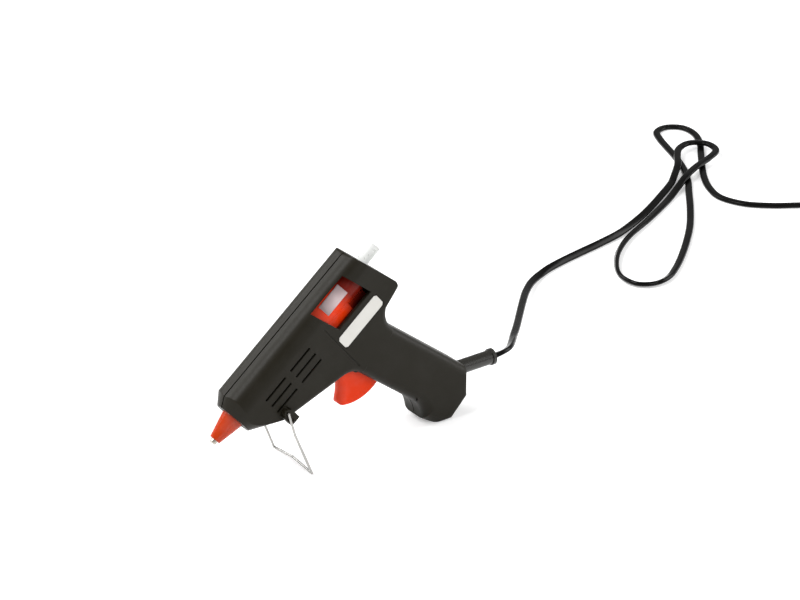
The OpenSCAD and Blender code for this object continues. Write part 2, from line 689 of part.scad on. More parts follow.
module trigger() {
  color([0.85, 0.2, 0.1]) stood() difference() {
    union() {
      intersection() {
        across(trigger_w) {
          intersection() {
            translate([pivot_x, pivot_z]) circle(sector_r);
            polygon([tip_high, tip_low, tip_c, spoke(tip_a + 4), spoke((tip_a + sector_end) / 2),
              spoke(sector_end), [pivot_x + 4, pivot_z], [pivot_x + 3, pivot_z + 4]]);
          }
          translate(tip_c) circle(tip_r2);
          translate([pivot_x, pivot_z]) circle(5);
        }
        web(hollow_mid, hollow_r, trigger_w / 2, finger_r, -front_lean - 72, -front_lean + 72, 60);
        translate([pivot_x, 0, pivot_z]) rotate([90, 0, 0]) rotate_extrude() {
          translate([0, -trigger_w / 2]) square([sector_r - rim_r, trigger_w]);
          translate([0, -trigger_w / 2 + rim_r]) square([sector_r, trigger_w - 2 * rim_r]);
          for (s = [-1, 1]) translate([sector_r - rim_r, s * (trigger_w / 2 - rim_r)]) circle(rim_r);
        }
      }
      translate([pivot_x, 0, pivot_z]) rotate([0, arm_lean, 0]) {
        translate([-2, -2.5, 0]) cube([4, 5, arm_len]);
        translate([0, -2.5, arm_len]) rotate([-90, 0, 0]) cylinder(r = 2, h = 5);
      }
    }
    pegged(pivot_x, pivot_z, pin_r + pin_gap, -20, 20);
  }
}

module trigger_pin() {
  color([0.72, 0.72, 0.74]) stood() pegged(pivot_x, pivot_z, pin_r, -half_w + 1.2, half_w - 1.2);
}

// Bent wire stand: two legs, two feet and a foot bar
knee = [33, -28.2];
knee_y = leg_y + 0.4;
leg_dir = unit([knee[0] - stand_x, knee[1] - stand_z]);
stop_r = 0.9;
stop_run = 5.6;
stand_stop = [stand_x + leg_dir[0] * stop_run - leg_dir[1] * (stand_wire / 2 + stop_r + 0.05),
  stand_z + leg_dir[1] * stop_run + leg_dir[0] * (stand_wire / 2 + stop_r + 0.05)];

module rod(a, b, r) {
  v = b - a;
  translate(a) rotate([0, acos(v[2] / norm(v)), atan2(v[1], v[0])]) cylinder(r = r, h = norm(v), $fn = 24);
}

// Wire of straight runs with rounded corners
module bent_wire(p, r) {
  for (i = [0:len(p) - 2]) rod(p[i], p[i + 1], r);
  for (i = [1:len(p) - 2]) translate(p[i]) sphere(r = r + 0.05, $fn = 24);
}

function tube_ring(path, i, r, sides, ref) = let(n = len(path) - 1,
  d = unit(path[min(i + 1, n)] - path[max(i - 1, 0)]), s = unit(cross(ref, d)), u = cross(d, s))
  [for (k = [0:sides - 1]) path[i] + s * r * cos(360 * k / sides) + u * r * sin(360 * k / sides)];
stub_in = half_w - 2.4;

module wire_stand() {
  color([0.72, 0.72, 0.7]) stood()
    bent_wire([[stand_x, -stub_in, stand_z], [stand_x, -leg_y, stand_z], [knee[0], -knee_y, knee[1]],
      [foot_x, -foot_y, foot_z], [foot_x + bar_rise * sp, 0, foot_z + bar_rise * cp],
      [foot_x, foot_y, foot_z], [knee[0], knee_y, knee[1]], [stand_x, leg_y, stand_z],
      [stand_x, stub_in, stand_z]],
      stand_wire / 2);
}

// Frame of the lead outlet, z running out of the butt
module outlet() {
  stood() translate([sleeve_root[0], 0, sleeve_root[1]]) rotate([0, 90 + stand_pitch, 0]) children();
}

// Moulded sleeve that guards the lead where it leaves the casing
module strain_relief() {
  color([0.09, 0.09, 0.09]) outlet()
    difference() {
      union() {
        translate([0, 0, -5]) cylinder(r = sleeve_r + 1.2, h = 2);
        translate([0, 0, -5]) cylinder(r = sleeve_r, h = sleeve_len + 5);
        translate([0, 0, sleeve_len]) cylinder(r = sleeve_r + 0.7, h = 2);
      }
      translate([0, 0, -10]) cylinder(r = cord_w / 2 + 0.1, h = 60);
    }
}

// Bar that pins the lead inside the butt
clamp_s = -10.5;
module cord_clamp() {
  color([0.2, 0.2, 0.2]) outlet() translate([0, 0, clamp_s]) difference() {
      union() {
        translate([-cord_t / 2 - 3.2, -8.5, -2.5]) cube([3, 17, 5]);
        translate([cord_t / 2 + 0.2, -half_w + wall, -2.5]) cube([3, 2 * (half_w - wall), 5]);
      }
      for (s = [-1, 1]) translate([-10, s * 6, 0]) rotate([0, 90, 0]) cylinder(r = 1.05, h = 20);
    }
}

module clamp_screws() {
  color([0.6, 0.6, 0.62]) outlet() translate([0, 0, clamp_s]) for (s = [-1, 1]) {
    translate([-cord_t / 2 - 3.2, s * 6, 0]) rotate([0, 90, 0]) cylinder(r = 1, h = cord_t + 6);
    translate([-cord_t / 2 - 4.7, s * 6, 0]) rotate([0, 90, 0]) cylinder(r = 1.9, h = 1.45);
  }
}

// Cores from the lead to the heater plate, one down each side
function inside(d) = [sleeve_root[0] - d * cp, sleeve_root[1] + d * sp];
core_r = 0.75;
lead_pts = [[inside(14)[0], 2, inside(14)[1]], [inside(18)[0], 2, inside(18)[1]],
  [inside(22)[0], 2, inside(22)[1]],
  [106, 5, -90], [101, 8, -72], [100, 8.6, -52], [97, 8.6, -36], [90, 8.8, -23], [74, 8.8, -17],
  [63, 5.5, -12.6], [58.5, 2.2, -9], [57, 2.2, -9], [55, 2.2, -9]];
module heater_leads() {
  color([0.75, 0.72, 0.68]) stood() for (s = [-1, 1]) {
    path = smooth([for (p = lead_pts) [p[0], s * p[1], p[2]]], 3);
    skin([for (i = [0:len(path) - 1]) tube_ring(path, i, core_r, 8, [0, 1, 0])]);
  }
}

module lead_crimps() {
  color([0.75, 0.75, 0.78]) stood() for (s = [-1, 1]) difference() {
    rod([inside(14)[0], s * 2, inside(14)[1]], [inside(19)[0], s * 2, inside(19)[1]], 1.5);
    rod([inside(13)[0], s * 2, inside(13)[1]], [inside(20)[0], s * 2, inside(20)[1]], core_r + 0.1);
  }
}

// Free stretch of the lead, from inside the butt to the put-away coil
cord_path = smooth(route, 2);
coil_steps = 24 * coil_turns;
coil_wind = [for (i = [0:coil_steps]) let(t = i / coil_steps, a = coil_from + (coil_to - coil_from) * t)
  [coil_mid[0] + coil_r * cos(a), coil_mid[1] + coil_r * sin(a), lead_z + (coil_top - lead_z) * t]];
// Tail from the coil to the plug, as shares of its run and of its drop
tail = [[0.25, 0], [0.5, 0], [0.62, 0.3], [0.75, 0.8], [0.88, 1], [1, 1]];
coil_path = concat([[lead_end[0] + 0.1 * coil_dir[0], lead_end[1] + 0.1 * coil_dir[1], lead_z]], coil_wind,
  [for (t = tail) [coil_out[0] + plug_dir[0] * plug_stub * t[0], coil_out[1] + plug_dir[1] * plug_stub * t[0],
    coil_top + (plug_t / 2 - coil_top) * t[1]]]);

module cord() {
  echo(lead_length = run(cord_path) + run(coil_path));
  color([0.06, 0.06, 0.06]) skin([for (i = [0:len(cord_path) - 1]) flat_ring(cord_path, i, cord_w, cord_t)]);
}

module cord_coil() {
  echo(coil_self_gap = least(coil_path, 18) - cord_t);
  color([0.06, 0.06, 0.06]) skin([for (i = [0:len(coil_path) - 1]) flat_ring(coil_path, i, cord_w, cord_t)]);
}

// Flat band tied round the strands
module band(w, h, thick, wide) {
  difference() {
    translate([-wide / 2, -w / 2 - thick, 0]) cube([wide, w + 2 * thick, h + 2 * thick]);
    translate([-wide, -w / 2, thick]) cube([2 * wide, w, h]);
  }
}

module coil_tie() {
  a = coil_from + 120;
  color([0.05, 0.05, 0.05]) translate([coil_mid[0] + coil_r * cos(a), coil_mid[1] + coil_r * sin(a), 0])
    rotate([0, 0, a + 90]) band(cord_w + 0.8, coil_top + cord_t / 2 + 0.5, 0.1, 3);
}

// Frame of the plug, x running out to the pins
module at_plug() {
  translate([plug_at[0], plug_at[1], plug_t / 2]) rotate([0, 0, atan2(plug_dir[1], plug_dir[0])]) children();
}

// Two-pin flat plug at the end of the coil
module plug_body() {
  color([0.06, 0.06, 0.06]) at_plug()
    difference() {
      union() {
        translate([-8, 0, 0]) rotate([0, 90, 0]) cylinder(r = 4.2, h = 12);
        translate([0, 0, -plug_t / 2]) linear_extrude(height = plug_t)
          polygon([[2, -6], [14, -plug_w / 2], [plug_len, -plug_w / 2], [plug_len, plug_w / 2],
            [14, plug_w / 2], [2, 6]]);
      }
      translate([-20, 0, 0]) rotate([0, 90, 0]) cylinder(r = cord_w / 2 + 0.5, h = 21);
      for (s = [-1, 1]) translate([plug_len - plug_pin_in, s * plug_pin_y, 0]) rotate([0, 90, 0])
        cylinder(r = plug_pin_r + plug_pin_gap, h = plug_pin_in + 12);
    }
}

module plug_pins() {
  color([0.8, 0.78, 0.7]) at_plug()
    for (s = [-1, 1]) translate([plug_len - plug_pin_in, s * plug_pin_y, 0]) rotate([0, 90, 0]) {
      cylinder(r = plug_pin_r, h = plug_pin_len);
      translate([0, 0, plug_pin_len]) cylinder(r1 = plug_pin_r, r2 = plug_pin_r - 0.8, h = 1);
    }
}

left_shell();
right_shell();
casing_screws();
nozzle_cover();
nozzle_tip();
melt_chamber();
heater_plate();
heater_leads();
lead_crimps();
front_bush();
stick_guide();
return_spring();
feed_carriage();
stick_grip();
glue_stick();
trigger();
trigger_pin();
wire_stand();
strain_relief();
cord_clamp();
clamp_screws();
cord();
cord_coil();
coil_tie();
plug_body();
plug_pins();
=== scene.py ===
"""Hot glue applicator on its wire stand: looks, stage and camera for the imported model."""

import math

import bmesh
import bpy
from mathutils import Matrix, Vector


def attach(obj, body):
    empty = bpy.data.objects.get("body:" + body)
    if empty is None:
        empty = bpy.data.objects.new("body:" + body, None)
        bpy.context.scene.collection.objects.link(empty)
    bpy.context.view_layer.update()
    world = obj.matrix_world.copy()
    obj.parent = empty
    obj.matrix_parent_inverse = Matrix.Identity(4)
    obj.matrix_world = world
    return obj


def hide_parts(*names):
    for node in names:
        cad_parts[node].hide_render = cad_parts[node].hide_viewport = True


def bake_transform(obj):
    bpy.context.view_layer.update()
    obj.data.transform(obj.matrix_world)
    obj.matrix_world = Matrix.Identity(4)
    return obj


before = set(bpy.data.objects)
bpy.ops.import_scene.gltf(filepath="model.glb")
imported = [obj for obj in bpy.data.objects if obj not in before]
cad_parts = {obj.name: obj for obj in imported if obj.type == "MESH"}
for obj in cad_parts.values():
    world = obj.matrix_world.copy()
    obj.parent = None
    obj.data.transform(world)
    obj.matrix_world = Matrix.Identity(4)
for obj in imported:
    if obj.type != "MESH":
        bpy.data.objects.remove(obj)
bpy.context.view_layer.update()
MM = 0.001
MERGE = MM / 500
LEAST_AREA = 1e-12

bl_info = {
    "name": "Hot Glue Applicator",
    "version": (1, 0, 0),
    "blender": (4, 5, 0),
    "location": "3D View > Sidebar > Glue Applicator",
    "description": "Dresses the packed hot glue applicator and sets its studio",
    "category": "Object",
}


# Settings

class ApplicatorSizes(bpy.types.PropertyGroup):
    """Sizes of the pieces and of the stage."""

    pitch: bpy.props.FloatProperty(
        name="Pitch", description="Nose-down pitch of the barrel", default=math.radians(39), subtype="ANGLE")
    centre_x: bpy.props.FloatProperty(
        name="Centre", description="Barrel distance from the tip to the middle", default=97.7 * MM,
        unit="LENGTH")
    tip_height: bpy.props.FloatProperty(
        name="Tip height", description="Height of the nozzle tip", default=29 * MM, unit="LENGTH")
    half_width: bpy.props.FloatProperty(
        name="Half width", description="Half of the casing width", default=13.5 * MM, unit="LENGTH")
    carriage_r: bpy.props.FloatProperty(
        name="Carriage radius", description="Outer radius of the feed carriage", default=10 * MM,
        unit="LENGTH")
    lead_width: bpy.props.FloatProperty(
        name="Lead width", description="Width of the flat lead", default=5 * MM, unit="LENGTH")
    lead_thick: bpy.props.FloatProperty(
        name="Lead thickness", description="Thickness of the flat lead", default=3 * MM, unit="LENGTH")
    lens: bpy.props.FloatProperty(
        name="Lens", description="Focal length on a 36 mm sensor", default=137.7, unit="CAMERA")
    camera_turn: bpy.props.FloatProperty(
        name="Camera turn", description="Camera direction round the object", default=math.radians(-36.03),
        subtype="ANGLE")
    camera_rise: bpy.props.FloatProperty(
        name="Camera rise", description="Camera direction above the floor", default=math.radians(26.06),
        subtype="ANGLE")
    camera_at: bpy.props.FloatVectorProperty(
        name="Camera", description="Camera position", default=(-0.8910, -1.2683, 0.8472),
        subtype="TRANSLATION")


class ApplicatorColours(bpy.types.PropertyGroup):
    """Colours of the finishes."""

    casing: bpy.props.FloatVectorProperty(
        name="Casing", description="Moulded casing", default=(0.0118, 0.0101, 0.0060),
        subtype="COLOR", size=3)
    orange: bpy.props.FloatVectorProperty(
        name="Orange", description="Trigger and carriage", default=(0.73, 0.036, 0.0014),
        subtype="COLOR", size=3)
    cover: bpy.props.FloatVectorProperty(
        name="Nozzle cover", description="Soft nozzle cover", default=(0.43, 0.033, 0.0014),
        subtype="COLOR", size=3)
    steel: bpy.props.FloatVectorProperty(
        name="Steel", description="Wire and pins", default=(0.36, 0.355, 0.34),
        subtype="COLOR", size=3)
    alloy: bpy.props.FloatVectorProperty(
        name="Alloy", description="Nozzle and chamber", default=(0.42, 0.39, 0.34),
        subtype="COLOR", size=3)
    lead: bpy.props.FloatVectorProperty(
        name="Lead", description="Flat lead", default=(0.0024, 0.0023, 0.0021),
        subtype="COLOR", size=3)
    sleeve: bpy.props.FloatVectorProperty(
        name="Sleeve", description="Sleeve and plug", default=(0.015, 0.014, 0.011),
        subtype="COLOR", size=3)
    glue: bpy.props.FloatVectorProperty(
        name="Glue", description="Clear glue stick", default=(0.78, 0.79, 0.77),
        subtype="COLOR", size=3)
    plate: bpy.props.FloatVectorProperty(
        name="Plate", description="Blank side plate", default=(0.63, 0.618, 0.58),
        subtype="COLOR", size=3)
    sticker: bpy.props.FloatVectorProperty(
        name="Sticker", description="Blank carriage sticker", default=(0.55, 0.42, 0.43),
        subtype="COLOR", size=3)
    natural: bpy.props.FloatVectorProperty(
        name="Natural", description="Heat-proof inner mouldings", default=(0.62, 0.60, 0.54),
        subtype="COLOR", size=3)
    # Painted shade: the back of the carriage, deep in the window, is drawn in this darker red
    carriage_painted_shade: bpy.props.FloatVectorProperty(
        name="Carriage painted shade", description="Deeper red at the back of the carriage",
        default=(0.16, 0.009, 0.004), subtype="COLOR", size=3)
    bush: bpy.props.FloatVectorProperty(
        name="Bush", description="Heat-proof ring in the nose", default=(0.26, 0.26, 0.25),
        subtype="COLOR", size=3)
    brass: bpy.props.FloatVectorProperty(
        name="Plug pins", description="Plated plug pins", default=(0.70, 0.62, 0.42),
        subtype="COLOR", size=3)
    floor: bpy.props.FloatVectorProperty(
        name="Floor", description="Studio floor", default=(0.86, 0.86, 0.86),
        subtype="COLOR", size=3)


def sizes():
    """Size settings of the scene."""
    return bpy.context.scene.applicator_sizes


def colours():
    """Colour settings of the scene."""
    return bpy.context.scene.applicator_colours


# Surface patterns, in repeats per metre and the spans of noise that they use

PATCHES = 45.0
PATCH_SPAN = (0.45, 0.75)
SPECKS = 700.0
SPECK_SPAN = (0.3, 0.7)
GRAIN = 2600.0
GRAIN_HEIGHT = 0.2 * MM
EDGE_SAMPLES = 6


# Shader groups and materials

def new_group(name, inputs, outputs):
    """Shader node group with named inputs (name, default) and outputs (name, kind)."""
    group = bpy.data.node_groups.new(name, "ShaderNodeTree")
    for label, value in inputs:
        kind = "NodeSocketColor" if isinstance(value, tuple) else "NodeSocketFloat"
        socket = group.interface.new_socket(label, in_out="INPUT", socket_type=kind)
        socket.default_value = value
    for label, kind in outputs:
        group.interface.new_socket(label, in_out="OUTPUT", socket_type=kind)
    return group, group.nodes.new("NodeGroupInput"), group.nodes.new("NodeGroupOutput")


def fill_socket(tree, value, socket):
    """Links an output to a socket, or sets a plain value there."""
    if hasattr(value, "links"):
        tree.links.new(value, socket)
    else:
        socket.default_value = value


def noise(tree, vector, scale, detail, roughness=0.55):
    """Noise texture node on a vector."""
    node = tree.nodes.new("ShaderNodeTexNoise")
    node.inputs["Scale"].default_value = scale
    node.inputs["Detail"].default_value = detail
    node.inputs["Roughness"].default_value = roughness
    tree.links.new(vector, node.inputs["Vector"])
    return node.outputs["Fac"]


def remap(tree, value, span, target):
    """Map Range node from one span to another, whose ends may be sockets."""
    node = tree.nodes.new("ShaderNodeMapRange")
    for label, end in zip(("From Min", "From Max", "To Min", "To Max"), (*span, *target)):
        fill_socket(tree, end, node.inputs[label])
    tree.links.new(value, node.inputs["Value"])
    return node.outputs["Result"]


def combine(tree, operation, first, second):
    """Math node on two values."""
    node = tree.nodes.new("ShaderNodeMath")
    node.operation = operation
    fill_socket(tree, first, node.inputs[0])
    fill_socket(tree, second, node.inputs[1])
    return node.outputs[0]


def mix_colour(tree, factor, first, second):
    """Mix node between two colours."""
    node = tree.nodes.new("ShaderNodeMix")
    node.data_type = "RGBA"
    for socket, value in ((node.inputs[0], factor), (node.inputs[6], first), (node.inputs[7], second)):
        fill_socket(tree, value, socket)
    return node.outputs[2]


def surface_group():
    """Moulded or drawn surface: patchy tone, patchy roughness and fine grain."""
    name = "Worked Surface"
    if name in bpy.data.node_groups:
        return bpy.data.node_groups[name]
    group, given, put = new_group(
        name,
        [("Colour", (0.5, 0.5, 0.5, 1.0)), ("Worn colour", (0.6, 0.6, 0.6, 1.0)), ("Roughness low", 0.3),
         ("Roughness high", 0.5), ("Wear", 0.2)],
        [("Colour", "NodeSocketColor"), ("Roughness", "NodeSocketFloat"), ("Height", "NodeSocketFloat")])
    coords = group.nodes.new("ShaderNodeTexCoord").outputs["Object"]
    patches = remap(group, noise(group, coords, PATCHES, detail=4.0), PATCH_SPAN, (0.0, 1.0))
    wear = combine(group, "MULTIPLY", patches, given.outputs["Wear"])
    colour = mix_colour(group, wear, given.outputs["Colour"], given.outputs["Worn colour"])
    specks = noise(group, coords, SPECKS, detail=5.0, roughness=0.7)
    ends = given.outputs["Roughness low"], given.outputs["Roughness high"]
    group.links.new(colour, put.inputs["Colour"])
    group.links.new(remap(group, specks, SPECK_SPAN, ends), put.inputs["Roughness"])
    group.links.new(noise(group, coords, GRAIN, detail=2.0), put.inputs["Height"])
    return group


def finish_material(name, colour, fade, rough, wear, grain, edge=0.0, painted_shade=None, **sockets):
    """Principled material over the shared surface group; sockets set plain Principled values.

    fade is the share by which worn patches are paler, rough the span of roughness, and edge the radius at
    which edges catch the light. The argument after edge is painted shade: a darker colour and the span along
    the barrel in which it takes over.
    """
    material = bpy.data.materials.new(name)
    material.use_nodes = True
    tree = material.node_tree
    shader = tree.nodes["Principled BSDF"]
    surface = tree.nodes.new("ShaderNodeGroup")
    surface.node_tree = surface_group()
    surface.inputs["Colour"].default_value = (*colour, 1.0)
    surface.inputs["Worn colour"].default_value = (*lighter(colour, fade), 1.0)
    surface.inputs["Roughness low"].default_value, surface.inputs["Roughness high"].default_value = rough
    surface.inputs["Wear"].default_value = wear
    bump = tree.nodes.new("ShaderNodeBump")
    bump.inputs["Strength"].default_value = grain
    bump.inputs["Distance"].default_value = GRAIN_HEIGHT
    if edge:
        rounding = tree.nodes.new("ShaderNodeBevel")
        rounding.samples = EDGE_SAMPLES
        rounding.inputs["Radius"].default_value = edge
        tree.links.new(rounding.outputs["Normal"], bump.inputs["Normal"])
    skin = surface.outputs["Colour"]
    # Painted shade: the base colour turns to the darker colour along the barrel, across the given span
    if painted_shade:
        shade, span = painted_shade
        along = tree.nodes.new("ShaderNodeVectorMath")
        along.operation = "DOT_PRODUCT"
        along.inputs[1].default_value = barrel_to_world().col[0][:3]
        tree.links.new(tree.nodes.new("ShaderNodeTexCoord").outputs["Object"], along.inputs[0])
        skin = mix_colour(tree, remap(tree, along.outputs["Value"], span, (0.0, 1.0)), skin, (*shade, 1.0))
    tree.links.new(skin, shader.inputs["Base Color"])
    tree.links.new(surface.outputs["Roughness"], shader.inputs["Roughness"])
    tree.links.new(surface.outputs["Height"], bump.inputs["Height"])
    tree.links.new(bump.outputs["Normal"], shader.inputs["Normal"])
    for label, value in sockets.items():
        shader.inputs[label.replace("_", " ")].default_value = value
    return material


def lighter(colour, gain):
    """Colour moved towards white by a share."""
    return tuple(c + (1.0 - c) * gain for c in colour)


def dress(nodes, material):
    """Puts one material on CAD nodes."""
    for name in nodes:
        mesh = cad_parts[name].data
        mesh.materials.clear()
        mesh.materials.append(material)


# Placing and meshes

def barrel_to_world():
    """Matrix from the barrel frame (x back from the tip, z up from the axis) to the standing frame."""
    s = sizes()
    return Matrix.Translation((-s.centre_x, 0.0, s.tip_height)) @ Matrix.Rotation(-s.pitch, 4, "Y")


def make_piece(name, bm, material, body):
    """Object from a bmesh, riding on a body where one is named."""
    bmesh.ops.recalc_face_normals(bm, faces=bm.faces)
    mesh = bpy.data.meshes.new(name)
    bm.to_mesh(mesh)
    bm.free()
    mesh.materials.append(material)
    for polygon in mesh.polygons:
        polygon.use_smooth = True
    piece = bpy.data.objects.new(name, mesh)
    bpy.context.scene.collection.objects.link(piece)
    if body:
        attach(piece, body)
    return piece


def merged_copy(node):
    """Bmesh of a CAD node with its loose triangles joined."""
    bm = bmesh.new()
    bm.from_mesh(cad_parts[node].data)
    bmesh.ops.remove_doubles(bm, verts=bm.verts, dist=MERGE)
    return bm


def apply_modifiers(context, piece):
    """Gives a piece the mesh that its modifiers make, and returns that mesh."""
    context.view_layer.update()
    shaped = bpy.data.meshes.new_from_object(piece.evaluated_get(context.evaluated_depsgraph_get()))
    piece.modifiers.clear()
    piece.data = shaped
    return shaped


def even_normals(mesh, limit):
    """Shades each corner by the areas of the faces there that turn less than the limit, in degrees."""
    bm = bmesh.new()
    bm.from_mesh(mesh)
    wide = bm.faces.layers.float.new("wide")
    for face in bm.faces:
        face[wide] = face.calc_area()
    bmesh.ops.triangulate(bm, faces=bm.faces)
    bmesh.ops.dissolve_degenerate(bm, dist=MERGE, edges=bm.edges)
    bm.to_mesh(mesh)
    bm.free()
    mesh.shade_smooth()
    faces = [(p.normal.copy(), area.value) for p, area in zip(mesh.polygons, mesh.attributes["wide"].data)]
    around = [[] for _ in mesh.vertices]
    for p in mesh.polygons:
        for v in p.vertices:
            around[v].append(p.index)
    least = math.cos(math.radians(limit))
    normals = []
    for p in mesh.polygons:
        own = faces[p.index][0]
        for v in p.vertices:
            total = own * LEAST_AREA
            for q in around[v]:
                if faces[q][0].dot(own) > least:
                    total += faces[q][0] * faces[q][1]
            normals.append(total.normalized())
    mesh.attributes.remove(mesh.attributes["wide"])
    mesh.set_sharp_from_angle(angle=math.radians(limit))
    mesh.normals_split_custom_set(normals)


# Casing and its toe, in millimetres and degrees; the rooms keep the toe cutter off the faces that it meets

CASING_SHARP = 28.0
FLAT_LIMIT = 0.3
GRIP_LEAN = 13.0
GRIP_FRONT = 73.0
GRIP_EDGE_R = 6.0
TOE_OUT = 7.4
TOE_END = 125.5
TOE_R = 20.0
TOE_PAST = 8.0
TOE_STEPS = 24
HOLLOW_ROOM = 0.17
EDGE_ROOM = 0.02
EDGE_STEPS = 12

# Trigger and feed, in millimetres and degrees

PIVOT = (86.0, 0.0, -38.0)
TRIGGER_VOXEL = 0.36
TRIGGER_HUB_R = 10.0
TRIGGER_PASSES = 24
TRIGGER_SHARP = 40.0
# Span along the barrel in which the carriage's painted shade takes over
CARRIAGE_SHADE_SPAN = (45.0, 55.0)

# Blank plate and sticker, in millimetres along the barrel and degrees round it

PLATE_SIZE = (33.2, 0.28, 9.2)
PLATE_X = 105.6
PLATE_Z = -16.3
PLATE_SUNK = 0.1
PLATE_CORNER = 1.4
STICKER_ENDS = (95.2, 112.0)
STICKER_FROM = 79.0
STICKER_TURN = 44.0
STICKER_STEPS = 16
STICKER_LIFT = 0.08
STICKER_THICK = 0.06

# Route of the lead, from inside the butt to the put-away coil, in millimetres

LEAD_Z = 1.6
OVER_Z = 5.1
ROUTE = [
    (58.2, 0, 24), (74.2, 0, 24), (86.2, 0, 24), (95.2, 0, 24), (102.2, 0, 24), (108.6, 0.9, 24),
    (115, 4.4, 23.2), (122.8, 12, 21.4), (132, 22, 18.8), (144, 34.5, 16), (160, 52, 12.2),
    (177, 70.5, 8.6), (193, 87, 5.6), (208.5, 100, 3.2), (225, 108.6, 1.9), (243, 113.4, LEAD_Z),
    (262, 117, LEAD_Z), (282, 120.6, LEAD_Z), (304, 126, LEAD_Z), (334, 139, LEAD_Z), (364, 156, LEAD_Z),
    (380, 166, LEAD_Z), (391, 174.5, 3.4), (402, 184, OVER_Z), (411, 195, OVER_Z), (421, 204.5, OVER_Z),
    (433, 207.5, OVER_Z), (442, 199.5, OVER_Z), (439.5, 187, OVER_Z), (426.5, 179.5, OVER_Z),
    (410, 173.5, OVER_Z), (394, 165.5, OVER_Z), (380, 158, 3), (361, 147, LEAD_Z), (331, 131, LEAD_Z),
    (303, 117.5, LEAD_Z), (282, 103, LEAD_Z), (267.5, 87.5, LEAD_Z), (259.5, 73, LEAD_Z),
    (261, 60, LEAD_Z), (270.5, 53.5, LEAD_Z), (283, 55, LEAD_Z), (297, 63.5, LEAD_Z), (313, 76, LEAD_Z),
    (330, 91, LEAD_Z), (347, 107.5, LEAD_Z), (365, 128, LEAD_Z), (382, 149, LEAD_Z), (394, 164, LEAD_Z),
    (405, 181, LEAD_Z), (414, 200, LEAD_Z), (420.5, 217, LEAD_Z), (426, 231, LEAD_Z),
    (432.5, 242, LEAD_Z), (443.5, 245, LEAD_Z), (452.5, 237.5, LEAD_Z), (452, 224, LEAD_Z),
    (444, 209, LEAD_Z), (432, 194, LEAD_Z), (419, 178, LEAD_Z), (407, 162, LEAD_Z), (398, 146, LEAD_Z),
    (394, 130, LEAD_Z), (400, 113, LEAD_Z), (413, 100, LEAD_Z), (428, 90, LEAD_Z), (444, 79, LEAD_Z),
    (460, 62, LEAD_Z),
]
# Roll of the flat lead, degrees at the route's point numbers
ROLL = [(0, 0), (3, 0), (4.6, -31), (6, -31), (9, 5), (13, 20), (15, 44), (20, 40), (23, 0), (33, 0),
        (36, 50), (37, 82), (38, 124), (39, 150), (41, 152), (46, 180)]
ROUTE_STEPS = 6

# Section of the lead in shares of its width, with its room above the floor in millimetres

LEAD_SIDES = 24
LEAD_ROOM = 0.1
FLAT_POWER = 0.62
THIN_POWER = 0.75
WAIST_DEPTH = 0.06
WAIST_WIDTH = 0.12

# Put-away coil and its run to the plug, in millimetres

COIL_STEPS = 32
COIL_RADIUS = 27.0
COIL_TURNS = 2.25
COIL_PITCH = 3.6
COIL_LEAD = 5.0
PLUG_STUB = 34.0
PLUG_HEIGHT = 6.8
# Shares of the stub and of the drop on the way from the coil to the plug
PLUG_RUN = ((0.25, 0), (0.5, 0), (0.62, 0.3), (0.75, 0.8), (0.88, 1), (1, 1))

# Stage, in metres, with the sensor in millimetres; each lamp has a name, a place, a width and its watts

SENSOR = 36.0
CLIP_END = 20.0
FLOOR_HALF = 6.0
FLOOR_DROP = 0.1 * MM
FLOOR_ROUGH = 0.9
FLOOR_GLOSS = 0.1
FLOOR_GLOW = 0.36
SKY_LIGHT = 0.35
LAMP_AIM = (0.05, 0.03, 0.05)
LAMPS = (
    ("Key", (-0.88, 0.18, 1.48), 0.7, 22.0),
    ("Fill", (0.5, -1.7, 1.1), 1.2, 17.0),
    ("Side", (1.65, -0.45, 0.62), 0.9, 13.0),
    ("Back", (-0.61, 1.38, 1.18), 1.2, 24.0),
)


def spline_point(a, b, c, d, t):
    """Point of a smooth curve between b and c."""
    square, cube = 2 * a - 5 * b + 4 * c - d, 3 * b - a - 3 * c + d
    return 0.5 * (2 * b + (c - a) * t + square * t * t + cube * t ** 3)


def smooth_path(points, steps):
    """Smooth curve through the points."""
    last = len(points) - 1
    path = []
    for i in range(last):
        a, b, c, d = points[max(i - 1, 0)], points[i], points[i + 1], points[min(i + 2, last)]
        path += [spline_point(a, b, c, d, k / steps) for k in range(steps)]
    return path + [points[last]]


def coil_path():
    """Put-away coil with its run to the plug."""
    before, end = Vector(ROUTE[-2]), Vector(ROUTE[-1])
    along = (end - before).normalized()
    start = end + along * COIL_LEAD
    middle = start + Vector((along.y, -along.x, 0)) * COIL_RADIUS
    first = math.atan2(start.y - middle.y, start.x - middle.x)
    count = int(COIL_STEPS * COIL_TURNS)
    path = []
    for i in range(count + 1):
        turn = first - 2 * math.pi * COIL_TURNS * i / count
        lift = COIL_PITCH * COIL_TURNS * i / count
        path.append(middle + Vector((math.cos(turn) * COIL_RADIUS, math.sin(turn) * COIL_RADIUS, lift)))
    away = Vector((math.sin(turn), -math.cos(turn), 0))
    out = path[-1].copy()
    drop = PLUG_HEIGHT - out.z
    for share, fall in PLUG_RUN:
        path.append(out + away * PLUG_STUB * share + Vector((0, 0, drop * fall)))
    return path


def lead_section(sides):
    """Flat section of the lead: two round cores side by side under one skin."""
    s = sizes()
    points = []
    for k in range(sides):
        turn = 2 * math.pi * k / sides
        flat = math.copysign(abs(math.cos(turn)) ** FLAT_POWER, math.cos(turn)) * s.lead_width / 2
        thin = math.copysign(abs(math.sin(turn)) ** THIN_POWER, math.sin(turn)) * s.lead_thick / 2
        waist = 1.0 - WAIST_DEPTH * math.exp(-(flat / (WAIST_WIDTH * s.lead_width)) ** 2)
        points.append((flat, thin * waist))
    return points


def lead_roll(place):
    """Roll of the flat lead at a place along the route's points, in radians."""
    for (first, a), (second, b) in zip(ROLL, ROLL[1:]):
        if place <= second:
            share = max(0.0, (place - first) / (second - first))
            return math.radians(a + (b - a) * share)
    return math.radians(ROLL[-1][1])


